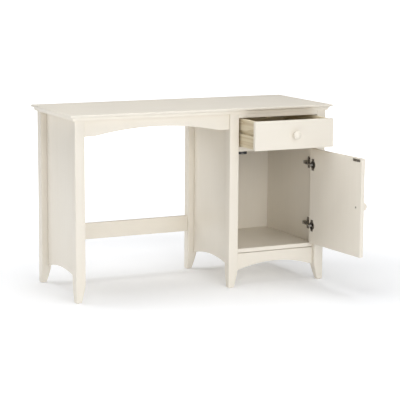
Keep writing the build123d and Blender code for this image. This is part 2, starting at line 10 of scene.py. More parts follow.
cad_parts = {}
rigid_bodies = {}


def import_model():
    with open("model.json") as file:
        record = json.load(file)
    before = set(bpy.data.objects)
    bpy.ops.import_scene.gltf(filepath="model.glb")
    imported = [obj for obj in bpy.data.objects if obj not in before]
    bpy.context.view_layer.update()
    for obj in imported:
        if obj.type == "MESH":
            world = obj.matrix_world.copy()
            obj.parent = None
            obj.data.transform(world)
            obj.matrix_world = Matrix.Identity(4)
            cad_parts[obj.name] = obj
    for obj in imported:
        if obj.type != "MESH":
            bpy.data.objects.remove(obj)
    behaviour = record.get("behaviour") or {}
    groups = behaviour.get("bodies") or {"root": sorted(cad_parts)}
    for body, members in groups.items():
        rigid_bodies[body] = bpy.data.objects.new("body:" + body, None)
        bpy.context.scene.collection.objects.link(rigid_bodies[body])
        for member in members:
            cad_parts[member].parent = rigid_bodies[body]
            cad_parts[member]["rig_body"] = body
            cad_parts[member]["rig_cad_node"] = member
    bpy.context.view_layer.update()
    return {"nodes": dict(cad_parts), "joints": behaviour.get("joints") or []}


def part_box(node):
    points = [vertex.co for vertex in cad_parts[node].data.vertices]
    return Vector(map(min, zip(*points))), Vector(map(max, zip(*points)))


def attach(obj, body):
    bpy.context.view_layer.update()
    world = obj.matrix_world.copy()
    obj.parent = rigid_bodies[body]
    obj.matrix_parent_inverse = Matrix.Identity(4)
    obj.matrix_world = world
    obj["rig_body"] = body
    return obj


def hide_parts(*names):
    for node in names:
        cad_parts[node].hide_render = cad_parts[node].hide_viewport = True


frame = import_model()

bl_info = {
    "name": "Painted Writing Desk",
    "version": (1, 0, 0),
    "blender": (4, 5, 0),
    "location": "View3D > Sidebar > Desk",
    "description": "Builds a painted pedestal desk with a pine drawer and a cupboard on concealed hinges",
    "category": "Add Mesh",
}

joints = {joint["name"]: joint for joint in frame["joints"]}
drawer_pull = -joints["drawer_slide"]["range_m"][0]
door_swing = -math.radians(joints["door_hinge"]["range_deg"][0])
door_pivot = Vector(joints["door_hinge"]["pos_m"])
door_turn = Matrix.Rotation(door_swing, 3, "Z")

# The hinge cups: how far in from the door's edge they stand, their size, and the room around them.
CUP_INSET = 0.022
CUP_RADIUS = 0.0175
CUP_DEPTH = 0.0115
CUP_PLAY = 0.0001

# The catch: its screwed ears, the window in its face and the two steel strips in the window.
EAR_LENGTH = 0.0125
EAR_SETBACK = 0.003
WINDOW_FRAME = 0.0022
WINDOW_HALF_HEIGHT = 0.005
WINDOW_DEPTH = 0.0016
STRIP_GAP = 0.0006
STRIP_SETBACK = 0.0002
STRIP_DEPTH = 0.006
STRIP_RISE = 0.0032
STRIP_HALF_HEIGHT = 0.0011

# Edge roundings of the pieces that are small or lie out of sight.
TOP_ARRIS = 0.0007
SIDE_ARRIS = 0.0006
PLYWOOD_ARRIS = 0.0004
CASE_ARRIS = 0.0007
STRIP_ARRIS = 0.0003
PIN_ARRIS = 0.0002
STRIKE_ARRIS = 0.0004
HINGE_ARRISES = {"cup": 0.00025, "plate": 0.0004, "arm": 0.0003, "link": 0.0003}

# A screw head's domed crown, as shares of its radius and of the dome's height, from rim to middle.
CROWN_OUTLINE = ((0.97, 1.15), (0.85, 0.55), (0.6, 0.15), (0.3, 0.0))
THINNEST_HEAD = 0.0008

# How far a cutter reaches past the face it cuts, and the least step between two rings.
PAST_FACE = 0.001
RING_STEP = 1e-5

AXIS_INDEX = {"X": 0, "Y": 1, "Z": 2}
PLANE_TURN = {"X": (0, math.pi / 2, 0), "Y": (math.pi / 2, 0, 0), "Z": (0, 0, 0)}
SMOOTH_ANGLE = math.radians(32)
CORNER_ANGLE = math.radians(30)


# ---------------------------------------------------------------- settings


def length(name, description, default):
    """A length setting in metres."""
    return FloatProperty(
        name=name, description=description, default=default, subtype="DISTANCE", unit="LENGTH"
    )


def colour(name, description, default):
    """A colour setting."""
    return FloatVectorProperty(
        name=name, description=description, default=default, size=3, subtype="COLOR", min=0, max=1
    )


def watts(name, description, default):
    """A light's power setting."""
    return FloatProperty(name=name, description=description, default=default, unit="POWER")


class DeskSizes(PropertyGroup):
    """Sizes of the rounded edges and curves that the desk's maker could change."""

    leg_arris: length("Leg arris", "Radius on the legs' corners", 0.0025)
    end_arris: length("End arris", "Radius on the legs' sawn ends", 0.0004)
    board_arris: length("Board arris", "Radius on rails and panels", 0.0009)
    front_arris: length("Front arris", "Radius on the door and drawer front", 0.0016)
    foot_width: length("Foot width", "Width of a foot at the floor", 0.025)
    foot_height: length("Foot height", "Height where a foot starts to narrow", 0.075)
    foot_bulge: length("Foot bulge", "How far the foot's curve stands out of a straight taper", 0.0014)
    end_arch_crown: length("End arch", "Height of the crown of the end panels' arch", 0.104)
    front_arch_crown: length("Front arch", "Height of the crown of the pedestal's front arch", 0.099)
    apron_crown: length("Apron crown", "Depth of the kneehole apron at mid span", 0.037)
    apron_flat: length("Apron flat", "Level length at each end of the kneehole apron", 0.030)
    apron_ogee: length("Apron ogee", "Radius of the small reversed curve of the apron", 0.165)
    lip_height: length("Lip height", "Height of the lip on the edge of the top", 0.0085)
    lip_round: length("Lip round", "Radius on the upper edge of the lip", 0.003)
    quirk: length("Quirk", "Width of the step under the lip", 0.0025)
    cove_radius: length("Cove", "Radius of the cove under the lip", 0.0115)
    cove_fillet: length("Cove fillet", "Width of the fillet below the cove", 0.0015)
    knob_neck: length("Knob neck", "Radius of a knob's neck", 0.007)
    knob_foot: length("Knob foot", "Radius of a knob's foot", 0.0095)


class DeskColours(PropertyGroup):
    """Finishes of the desk."""

    paint: colour("Paint", "Ivory paint", (0.850, 0.799, 0.706))
    paint_deep: colour("Paint, deep", "Ivory paint where it lies thinner", (0.830, 0.776, 0.678))
    pine: colour("Pine", "Pale early wood of bare pine", (0.690, 0.610, 0.445))
    pine_ring: colour("Pine ring", "Brown late wood of bare pine", (0.470, 0.350, 0.190))
    plywood: colour("Plywood", "Face veneer of the drawer's bottom", (0.560, 0.450, 0.300))
    nickel: colour("Nickel", "Plated steel of the hinges and screws", (0.440, 0.415, 0.375))
    # Nickel, dark is painted reflection: dark surroundings mirrored in the plating, put into the colour in
    # random patches.
    nickel_painted_reflection: colour("Nickel, dark", "Tarnished plating in the hinges' hollows", (0.120, 0.112, 0.100))
    catch: colour("Catch", "Black moulding of the magnetic catch", (0.016, 0.016, 0.017))
    glide: colour("Glide", "Pale plastic of the floor glides", (0.420, 0.390, 0.330))


class DeskStudio(PropertyGroup):
    """The floor, lights and camera."""

    floor_colour: colour("Floor", "Pale studio floor", (0.915, 0.925, 0.945))
    floor_glow: FloatProperty(
        name="Floor glow", description="Light given off by the lit floor", default=0.17
    )
    sky: FloatProperty(name="Sky", description="Strength of the even white surround", default=0.17)
    key_power: watts("Key light", "Power of the large front light", 98.0)
    low_power: watts("Low light", "Power of the low light front left", 62.0)
    left_power: watts("Left light", "Power of the left-hand light", 22.0)
    rear_power: watts("Rear light", "Power of the light behind on the left", 58.0)
    top_power: watts("Top light", "Power of the overhead light", 144.0)
    camera_place: FloatVectorProperty(
        name="Camera",
        description="Where the camera stands",
        default=(-2.6295, -5.4736, 1.4091),
        size=3,
        subtype="TRANSLATION",
        unit="LENGTH",
    )
    camera_heading: FloatProperty(
        name="Heading",
        description="Camera's turn from +Y towards +X",
        default=math.radians(25.674),
        subtype="ANGLE",
    )
    camera_tilt: FloatProperty(
        name="Tilt", description="Camera's tilt below level", default=math.radians(9.60), subtype="ANGLE"
    )
    camera_roll: FloatProperty(
        name="Roll", description="Camera's roll", default=math.radians(0.37), subtype="ANGLE"
    )
    lens: FloatProperty(name="Lens", description="Focal length in millimetres", default=131.6)


# ---------------------------------------------------------------- materials


def start_material(name):
    """A new material with only its principled shader."""
    material = bpy.data.materials.new(name)
    material.use_nodes = True
    tree = material.node_tree
    return material, tree, tree.nodes["Principled BSDF"]


def feed(tree, socket, value):
    """Set a socket to a value, or link it from another socket."""
    if isinstance(value, bpy.types.NodeSocket):
        tree.links.new(value, socket)
    else:
        socket.default_value = value


def feed_all(tree, node, sockets):
    """Set or link several of a node's sockets."""
    for key, value in sockets.items():
        feed(tree, node.inputs[key], value)


def add_node(tree, kind, sockets=None, **settings):
    """A node with its settings, and its sockets set to values or linked from other sockets."""
    node = tree.nodes.new(kind)
    for key, value in settings.items():
        setattr(node, key, value)
    feed_all(tree, node, sockets or {})
    return node


def mix_colours(tree, factor, first, second):
    """The colour between two colours or colour sockets."""
    node = add_node(tree, "ShaderNodeMix", {0: factor}, data_type="RGBA")
    for socket, value in ((node.inputs[6], first), (node.inputs[7], second)):
        feed(tree, socket, value if isinstance(value, bpy.types.NodeSocket) else (*value, 1.0))
    return node.outputs[2]


def spread(tree, value, low, high, to_low=0.0, to_high=1.0):
    """A value carried from one range to another, and clamped there."""
    sockets = {"Value": value, "From Min": low, "From Max": high, "To Min": to_low, "To Max": to_high}
    return add_node(tree, "ShaderNodeMapRange", sockets).outputs[0]


def place_coordinates(tree, stretch=(1, 1, 1), shift=(0, 0, 0)):
    """Object coordinates, stretched to lay a pattern along a board."""
    coordinates = add_node(tree, "ShaderNodeTexCoord").outputs["Object"]
    sockets = {"Vector": coordinates, "Scale": stretch, "Location": shift}
    return add_node(tree, "ShaderNodeMapping", sockets).outputs[0]


def noise(tree, vector, scale, detail=3.0, roughness=0.5, distortion=0.0):
    """A noise value over the given coordinates."""
    sockets = {"Vector": vector, "Scale": scale, "Detail": detail}
    sockets.update({"Roughness": roughness, "Distortion": distortion})
    return add_node(tree, "ShaderNodeTexNoise", sockets).outputs["Fac"]


def combine(tree, operation, first, second):
    """Two values put together."""
    return add_node(tree, "ShaderNodeMath", {0: first, 1: second}, operation=operation).outputs[0]


def relief(tree, height, distance, strength=1.0, below=None):
    """A bump, on top of another where one is given."""
    sockets = {"Height": height, "Distance": distance, "Strength": strength}
    if below is not None:
        sockets["Normal"] = below
    return add_node(tree, "ShaderNodeBump", sockets).outputs[0]


def grain_coordinates(tree, grain, share, shift=(0, 0, 0)):
    """Object coordinates, drawn out in the direction of the grain."""
    return place_coordinates(tree, tuple(share if axis == grain else 1.0 for axis in "XYZ"), shift)


def painted_wood(grain):
    """Satin ivory paint, sprayed on wood whose grain just shows through along the board."""
    colours = bpy.context.scene.desk_colours
    material, tree, shader = start_material(f"ivory_paint_{grain.lower()}")
    plain = place_coordinates(tree)
    laid = grain_coordinates(tree, grain, 0.06)
    cloud = noise(tree, plain, 5.0, 4.0, 0.55)
    pores = noise(tree, laid, 520.0, 5.0, 0.62, 0.15)
    flow = noise(tree, laid, 70.0, 3.0, 0.5, 0.4)
    peel = noise(tree, plain, 950.0, 2.0, 0.5)
    cloud_share, flow_share = combine(tree, "MULTIPLY", cloud, 0.55), combine(tree, "MULTIPLY", flow, 0.45)
    tone = combine(tree, "ADD", cloud_share, flow_share)
    body = mix_colours(tree, spread(tree, tone, 0.34, 0.68), colours.paint, colours.paint_deep)
    darker = tuple(value * 0.95 for value in colours.paint_deep)
    tinted = mix_colours(tree, spread(tree, pores, 0.60, 0.80, 0.0, 0.22), body, darker)
    grain_relief = relief(tree, pores, 0.00012, 0.5)
    flow_relief = relief(tree, flow, 0.0005, 0.25, grain_relief)
    look = {
        "Base Color": tinted,
        "Roughness": spread(tree, cloud, 0.3, 0.7, 0.36, 0.48),
        "Normal": relief(tree, peel, 0.00008, 0.4, flow_relief),
        "Specular IOR Level": 0.42,
        "Coat Weight": 0.12,
        "Coat Roughness": 0.22,
    }
    feed_all(tree, shader, look)
    return material


def bare_pine(grain, name="bare_pine", pale=None, ring=None):
    """Planed pine with growth rings, brown streaks and a few knots, under a thin clear finish."""
    colours = bpy.context.scene.desk_colours
    pale = pale or tuple(colours.pine)
    ring = ring or tuple(colours.pine_ring)
    material, tree, shader = start_material(f"{name}_{grain.lower()}")
    laid = grain_coordinates(tree, grain, 0.05, (0.13, 0.07, 0.03))
    wander = noise(tree, laid, 9.0, 2.0, 0.5)
    rings_at = combine(tree, "MULTIPLY", wander, 16.0)
    rings = combine(tree, "FRACT", rings_at, 0.0)
    late_wood = spread(tree, rings, 0.55, 0.98)
    streak = noise(tree, grain_coordinates(tree, grain, 0.02), 160.0, 4.0, 0.6, 0.2)
    fibre = noise(tree, grain_coordinates(tree, grain, 0.03), 900.0, 4.0, 0.65)
    knot_places = grain_coordinates(tree, grain, 0.45)
    knot_cells = add_node(tree, "ShaderNodeTexVoronoi", {"Vector": knot_places, "Scale": 9.0})
    knot = spread(tree, knot_cells.outputs["Distance"], 0.06, 0.14, 1.0, 0.0)
    base = mix_colours(tree, combine(tree, "MULTIPLY", late_wood, 0.55), pale, ring)
    streaked = mix_colours(tree, spread(tree, streak, 0.55, 0.75, 0.0, 0.45), base, ring)
    dark = tuple(value * 0.45 for value in ring)
    knotted = mix_colours(tree, combine(tree, "MULTIPLY", knot, 0.75), streaked, dark)
    ring_relief = relief(tree, late_wood, 0.00015, 0.5)
    look = {
        "Base Color": knotted,
        "Roughness": spread(tree, fibre, 0.3, 0.7, 0.48, 0.66),
        "Normal": relief(tree, fibre, 0.0002, 0.6, ring_relief),
        "Specular IOR Level": 0.35,
    }
    feed_all(tree, shader, look)
    return material


def nickelled_steel():
    """Nickel-plated pressed steel, finely brushed, darkened in random patches as painted reflection of
    dark surroundings.
    """
    colours = bpy.context.scene.desk_colours
    material, tree, shader = start_material("nickelled_steel")
    plain = place_coordinates(tree)
    patch = noise(tree, plain, 160.0, 4.0, 0.6)
    brush = noise(tree, place_coordinates(tree, (1.0, 1.0, 0.05)), 2600.0, 2.0, 0.5)
    # Painted reflection: random patches of the steel turn to the dark nickel colour in place of dark
    # surroundings mirrored in the metal.
    painted_reflection_patches = spread(tree, patch, 0.42, 0.62)
    look = {
        "Base Color": mix_colours(tree, painted_reflection_patches, colours.nickel, colours.nickel_painted_reflection),
        "Roughness": spread(tree, brush, 0.3, 0.7, 0.22, 0.42),
        "Normal": relief(tree, brush, 0.00003, 0.5),
        "Metallic": 1.0,
    }
    feed_all(tree, shader, look)
    return material


def moulded_plastic(name, base, roughness):
    """Moulded plastic with a fine spark-eroded grain."""
    material, tree, shader = start_material(name)
    plain = place_coordinates(tree)
    grain = noise(tree, plain, 1800.0, 3.0, 0.6)
    cloud = noise(tree, plain, 90.0, 2.0, 0.5)
    paler = tuple(min(1.0, value * 1.7 + 0.01) for value in base)
    look = {
        "Base Color": mix_colours(tree, spread(tree, cloud, 0.35, 0.7), base, paler),
        "Roughness": spread(tree, grain, 0.3, 0.7, roughness - 0.08, roughness + 0.08),
        "Normal": relief(tree, grain, 0.00006, 0.6),
    }
    feed_all(tree, shader, look)
    return material


finishes = {}


def finish_named(key):
    """A finish by its short name, made once."""
    if key not in finishes:
        colours = bpy.context.scene.desk_colours
        ply = tuple(colours.plywood)
        ply_ring = tuple(value * 0.75 for value in ply)
        kind, _, grain = key.partition("_")
        makers = {
            "paint": lambda: painted_wood(grain),
            "pine": lambda: bare_pine(grain),
            "ply": lambda: bare_pine(grain, "birch_ply", ply, ply_ring),
            "steel": nickelled_steel,
            "catch": lambda: moulded_plastic("catch_moulding", colours.catch, 0.42),
            "glide": lambda: moulded_plastic("glide_plastic", colours.glide, 0.55),
        }
        finishes[key] = makers[kind]()
    return finishes[key]


# ---------------------------------------------------------------- modelling


def deselect():
    """Leave edit mode and clear the selection."""
    if bpy.context.object and bpy.context.object.mode != "OBJECT":
        bpy.ops.object.mode_set(mode="OBJECT")
    bpy.ops.object.select_all(action="DESELECT")


def take(piece):
    """Select one object alone and make it active."""
    deselect()
    piece.select_set(True)
    bpy.context.view_layer.objects.active = piece


def open_mesh():
    """Go into edit mode with everything selected."""
    bpy.ops.object.mode_set(mode="EDIT")
    bpy.ops.mesh.select_all(action="SELECT")


def close_mesh():
    """Turn every face outwards and leave edit mode."""
    bpy.ops.mesh.select_all(action="SELECT")
    bpy.ops.mesh.remove_doubles(threshold=1e-7)
    bpy.ops.mesh.normals_make_consistent(inside=False)
    bpy.ops.object.mode_set(mode="OBJECT")


def settle(piece):
    """Put an object's place, turn and scale into its mesh."""
    take(piece)
    bpy.ops.object.transform_apply(location=True, rotation=True, scale=True)


def name_piece(piece, name):
    """Give an object and its mesh one name."""
    piece.name = name
    piece.data.name = name
    return piece


def extruded(name, axis, sections):
    """A board extruded along an axis through rectangles, each given by its low and high corner."""
    index = AXIS_INDEX[axis]
    deselect()
    bpy.ops.mesh.primitive_plane_add(size=1, rotation=PLANE_TURN[axis])
    piece = name_piece(bpy.context.object, name)
    settle(piece)
    open_mesh()
    centre, size = Vector((0, 0, 0)), Vector((1, 1, 1))
    for number, (low, high) in enumerate(sections):
        new_centre = (Vector(low) + Vector(high)) / 2
        new_size = Vector(high) - Vector(low)
        step = new_centre - centre
        if number == 0:
            bpy.ops.transform.translate(value=step)
        else:
            bpy.ops.mesh.extrude_region_move(TRANSFORM_OT_translate={"value": step})
        factors = [1.0 if i == index else new_size[i] / size[i] for i in range(3)]
        if any(abs(factor - 1.0) > 1e-6 for factor in factors):
            bpy.ops.transform.resize(value=factors, center_override=new_centre)
        centre, size = new_centre, new_size
    close_mesh()
    return piece


def flat_section(axis, station, low, high):
    """The two corners of a section of a box at a station along an axis."""
    index = AXIS_INDEX[axis]
    first, second = Vector(low), Vector(high)
    first[index] = second[index] = station
    return first, second


def board(name, low, high, axis="Z"):
    """A plain board between two corners."""
    index = AXIS_INDEX[axis]
    sections = [flat_section(axis, station, low, high) for station in (low[index], high[index])]
    return extruded(name, axis, sections)


def apply_modifier(piece, name, kind, **settings):
    """Add a modifier with its settings and put its work into the mesh."""
    modifier = piece.modifiers.new(name, kind)
    for key, value in settings.items():
        setattr(modifier, key, value)
    take(piece)
    bpy.ops.object.modifier_apply(modifier=modifier.name)
    return piece


def smooth(piece):
    """Shade a piece smooth everywhere but at its real edges."""
    take(piece)
    bpy.ops.object.shade_smooth_by_angle(angle=SMOOTH_ANGLE)
    return piece


def ease(piece, width, segments=3):
    """Round every real edge a little and smooth the rest."""
    limit = {"limit_method": "ANGLE", "angle_limit": CORNER_ANGLE, "use_clamp_overlap": True}
    return smooth(apply_modifier(piece, "eased_edges", "BEVEL", width=width, segments=segments, **limit))


def round_corners(piece, axis, width, segments):
    """Round only the real edges that run along an axis."""
    index = AXIS_INDEX[axis]
    mesh = bmesh.new()
    mesh.from_mesh(piece.data)
    layers = mesh.edges.layers.float
    weight = layers.get("bevel_weight_edge") or layers.new("bevel_weight_edge")
    for edge in mesh.edges:
        run = (edge.verts[1].co - edge.verts[0].co).normalized()
        corner = len(edge.link_faces) == 2 and edge.calc_face_angle() > CORNER_ANGLE
        edge[weight] = 1.0 if corner and abs(run[index]) > 0.9 else 0.0
    mesh.to_mesh(piece.data)
    mesh.free()
    limit = {"limit_method": "WEIGHT"}
    return apply_modifier(piece, "rounded_corners", "BEVEL", width=width, segments=segments, **limit)


def cut_away(piece, cutter):
    """Take one solid out of another and remove the cutter."""
    apply_modifier(piece, "cut", "BOOLEAN", operation="DIFFERENCE", solver="EXACT", object=cutter)
    bpy.data.objects.remove(cutter)
    return piece


def swing_open(piece):
    """Turn a piece modelled on the closed door to where the door stands open."""
    take(piece)
    bpy.ops.transform.rotate(value=-door_swing, orient_axis="Z", center_override=door_pivot)
    settle(piece)
    return piece


def lay_finish(piece, finish):
    """Give a piece one finish all over."""
    piece.data.materials.clear()
    piece.data.materials.append(finish_named(finish))


def fit_to(piece, nodes, finish):
    """Give a piece its finish, put it on its body, and hide the CAD nodes it stands for."""
    lay_finish(piece, finish)
    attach(piece, frame["nodes"][nodes[0]]["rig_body"])
    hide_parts(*nodes)
    return piece


def arc_height(reach, rise, place):
    """Height of a shallow arch above its springing, at a place measured from mid span."""
    radius = (reach * reach + rise * rise) / (2 * rise)
    return math.sqrt(max(radius * radius - place * place, 0.0)) - (radius - rise)


def spaced(low, high, count):
    """Even stations from low to high."""
    return [low + (high - low) * step / count for step in range(count + 1)]


def shaped_board(node, axis, edge):
    """A board along an axis, its lower edge raised by the heights in edge at even stations."""
    low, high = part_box(node)
    index = AXIS_INDEX[axis]
    reach, middle = (high[index] - low[index]) / 2, (high[index] + low[index]) / 2
    sections = []
    for place, rise in zip(spaced(-reach, reach, len(edge) - 1), edge):
        first, second = flat_section(axis, middle + place, low, high)
        first.z = low.z + rise
        sections.append((first, second))
    return extruded(f"{node}_board", axis, sections)


def arched_board(node, axis, crown, steps=32):
    """A board along an axis, its lower edge a shallow arch up to the crown's height."""
    low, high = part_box(node)
    index = AXIS_INDEX[axis]
    reach = (high[index] - low[index]) / 2
    edge = [arc_height(reach, crown - low.z, place) for place in spaced(-reach, reach, steps)]
    return shaped_board(node, axis, edge)


def rounded_middle(part):
    """The mean point of a part, rounded so that parts sort the same way each time."""
    return tuple(round(value, 4) for value in sum(part, Vector()) / len(part))


def loose_parts(node):
    """The vertices of each separate solid of a CAD node."""
    mesh = bmesh.new()
    mesh.from_mesh(frame["nodes"][node].data)
    bmesh.ops.remove_doubles(mesh, verts=mesh.verts, dist=1e-6)
    left, parts = set(mesh.verts), []
    while left:
        stack, part = [left.pop()], []
        while stack:
            vertex = stack.pop()
            part.append(vertex.co.copy())
            for edge in vertex.link_edges:
                other = edge.other_vert(vertex)
                if other in left:
                    left.discard(other)
                    stack.append(other)
        parts.append(part)
    mesh.free()
    return sorted(parts, key=rounded_middle)


def extreme_point(part, direction):
    """The centre of the points of a part that lie furthest in a direction, and how far they are."""
    reach = max(point.dot(direction) for point in part)
    ends = [point for point in part if point.dot(direction) > reach - 2e-5]
    return sum(ends, Vector()) / len(ends), reach


def turned(name, base, axis, profile, vertices=64):
    """A turned solid: rings of given radius and height from a base point out along an axis."""
    out = Vector(axis).normalized()
    deselect()
    radius, height = profile[0]
    bpy.ops.mesh.primitive_circle_add(
        vertices=vertices,
        radius=radius,
        fill_type="NGON",
        location=Vector(base) + out * height,
        rotation=out.to_track_quat("Z", "Y").to_euler(),
    )
    piece = name_piece(bpy.context.object, name)
    settle(piece)
    open_mesh()
    for new_radius, new_height in profile[1:]:
        bpy.ops.mesh.extrude_region_move(TRANSFORM_OT_translate={"value": out * (new_height - height)})
        centre = Vector(base) + out * new_height
        bpy.ops.transform.resize(value=(new_radius / radius,) * 3, center_override=centre)
        radius, height = new_radius, new_height
    close_mesh()
    return smooth(piece)


def joined(name, pieces):
    """Several meshes made one."""
    deselect()
    for piece in pieces:
        piece.select_set(True)
    bpy.context.view_layer.objects.active = pieces[0]
    if len(pieces) > 1:
        bpy.ops.object.join()
    return name_piece(bpy.context.object, name)


def box_of(points):
    """The low and high corner of a set of points."""
    low = Vector([min(point[i] for point in points) for i in range(3)])
    high = Vector([max(point[i] for point in points) for i in range(3)])
    return low, high


def arc_through(first, middle, last, steps):
    """Points along the circle through three points of a profile, without the first."""
    (ax, ay), (bx, by), (cx, cy) = first, middle, last
    scale = 2 * (ax * (by - cy) + bx * (cy - ay) + cx * (ay - by))
    squares = (ax * ax + ay * ay, bx * bx + by * by, cx * cx + cy * cy)
    ox = (squares[0] * (by - cy) + squares[1] * (cy - ay) + squares[2] * (ay - by)) / scale
    oy = (squares[0] * (cx - bx) + squares[1] * (ax - cx) + squares[2] * (bx - ax)) / scale
    radius = math.hypot(ax - ox, ay - oy)
    start, via, end = (math.atan2(y - oy, x - ox) for x, y in (first, middle, last))
    sweep = (end - start) % (2 * math.pi)
    if (via - start) % (2 * math.pi) > sweep:
        sweep -= 2 * math.pi
    turns = [start + sweep * step / steps for step in range(1, steps + 1)]
    return [(ox + radius * math.cos(turn), oy + radius * math.sin(turn)) for turn in turns]


def closed_door():
    """The corners of the door when it is shut, which lines up with the drawer's front."""
    front_low, front_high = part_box("drawer_front")
    leaf_low, leaf_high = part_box("door_panel")
    low = Vector((front_low.x, front_low.y + drawer_pull, leaf_low.z))
    high = Vector((front_high.x, front_high.y + drawer_pull, leaf_high.z))
    return low, high


def shut_centre(node):
    """Where the middle of a door part's box stands when the door is shut."""
    points = [point for part in loose_parts(node) for point in part]
    shut = [door_pivot + door_turn.inverted() @ (point - door_pivot) for point in points]
    low, high = box_of(shut)
    return (low + high) / 2


# ---------------------------------------------------------------- the pieces


class DESK_OT_top(Operator):
    """Model the desk top with a rounded lip and a cove on the front and both ends"""

    bl_idname = "desk.top"
    bl_label = "Desk top"

    def execute(self, context):
        sizes = context.scene.desk_sizes
        low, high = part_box("desk_top")
        lip_bottom = high.z - sizes.lip_height
        round_steps, cove_steps = 6, 8
        profile = []
        for step in range(round_steps + 1):
            turn = math.radians(90 * step / round_steps)
            inset = sizes.lip_round * (1 - math.sin(turn))
            profile.append((inset, high.z - sizes.lip_round * (1 - math.cos(turn))))
        profile.append((0.0, lip_bottom))
        profile.append((sizes.quirk, lip_bottom - RING_STEP))
        for step in range(1, cove_steps + 1):
            turn = math.radians(90 * step / cove_steps)
            inset = sizes.quirk + sizes.cove_radius * math.sin(turn)
            profile.append((inset, lip_bottom - sizes.cove_radius * (1 - math.cos(turn))))
        foot = sizes.quirk + sizes.cove_radius + sizes.cove_fillet
        profile.append((foot, profile[-1][1] - RING_STEP))
        profile.append((foot, low.z))
        sections = [
            (Vector((low.x + inset, low.y + inset, height)), Vector((high.x - inset, high.y, height)))
            for inset, height in profile
        ]
        piece = ease(extruded("desk_top_board", "Z", sections), TOP_ARRIS, 2)
        fit_to(piece, ["desk_top"], "paint_X")
        return {"FINISHED"}


def foot_width(sizes, size, height):
    """Width of a leg at a height: full above the foot, then narrowing along a curve."""
    if height >= sizes.foot_height:
        return size
    part = height / sizes.foot_height
    straight = sizes.foot_width + (size - sizes.foot_width) * part
    return straight + sizes.foot_bulge * 4 * part * (1 - part)


class DESK_OT_legs(Operator):
    """Model the six legs, each narrowed at the foot on its two inner faces"""

    bl_idname = "desk.legs"
    bl_label = "Legs"

    def execute(self, context):
        sizes = context.scene.desk_sizes
        legs = {
            "left_front_leg": (1, 1),
            "left_rear_leg": (1, -1),
            "pedestal_front_left_leg": (1, 1),
            "pedestal_rear_left_leg": (1, -1),
            "pedestal_front_right_leg": (-1, 1),
            "pedestal_rear_right_leg": (-1, -1),
        }
        for node, (inward_x, inward_y) in legs.items():
            low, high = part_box(node)
            size = high.x - low.x
            heights = [high.z] + spaced(sizes.foot_height, low.z, 12)
            sections = []
            for height in heights:
                width = foot_width(sizes, size, height)
                x_low = low.x if inward_x > 0 else high.x - width
                y_low = low.y if inward_y > 0 else high.y - width
                corner = Vector((x_low, y_low, height))
                sections.append((corner, corner + Vector((width, width, 0))))
            post = round_corners(extruded(f"{node}_post", "Z", sections), "Z", sizes.leg_arris, 4)
            fit_to(ease(post, sizes.end_arris, 2), [node], "paint_Z")
        return {"FINISHED"}


class DESK_OT_end_panels(Operator):
    """Model the three side panels with arched lower edges"""

    bl_idname = "desk.end_panels"
    bl_label = "Arched side panels"

    def execute(self, context):
        sizes = context.scene.desk_sizes
        for node in ("left_end_panel", "pedestal_left_panel", "pedestal_right_panel"):
            piece = arched_board(node, "Y", sizes.end_arch_crown)
            fit_to(ease(piece, sizes.board_arris), [node], "paint_Z")
        return {"FINISHED"}


def apron_edge(sizes, half, rise, place):
    """Height of the kneehole apron's lower edge above its level ends."""
    run = half - sizes.apron_flat
    turn = 2 * math.atan(rise / run)
    radius = run / math.sin(turn) - sizes.apron_ogee
    place = abs(place)
    if place >= run:
        return 0.0
    if place <= radius * math.sin(turn):
        return rise - (radius - math.sqrt(radius * radius - place * place))
    return sizes.apron_ogee - math.sqrt(sizes.apron_ogee ** 2 - (run - place) ** 2)


class DESK_OT_aprons(Operator):
    """Model the shaped kneehole apron and the pedestal's arched front apron"""

    bl_idname = "desk.aprons"
    bl_label = "Aprons"

    def execute(self, context):
        sizes = context.scene.desk_sizes
        low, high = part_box("kneehole_apron")
        half = (high.x - low.x) / 2
        rise = high.z - sizes.apron_crown - low.z
        edge = [apron_edge(sizes, half, rise, place) for place in spaced(-half, half, 66)]
        piece = shaped_board("kneehole_apron", "X", edge)
        fit_to(ease(piece, sizes.board_arris), ["kneehole_apron"], "paint_X")
        piece = arched_board("pedestal_front_apron", "X", sizes.front_arch_crown)
        fit_to(ease(piece, sizes.board_arris), ["pedestal_front_apron"], "paint_X")
        return {"FINISHED"}


class DESK_OT_rails(Operator):
    """Model the rails, the stretcher, the cupboard floor and the back"""

    bl_idname = "desk.rails"
    bl_label = "Rails, floor and back"

    def execute(self, context):
        sizes = context.scene.desk_sizes
        grains = {
            "kneehole_back_rail": "X",
            "back_stretcher": "X",
            "drawer_top_rail": "X",
            "drawer_divider_rail": "X",
            "cupboard_floor": "X",
            "pedestal_back_panel": "Z",
        }
        for node, grain in grains.items():
            low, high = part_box(node)
            piece = ease(board(f"{node}_board", low, high, grain), sizes.board_arris)
            fit_to(piece, [node], f"paint_{grain}")
        return {"FINISHED"}


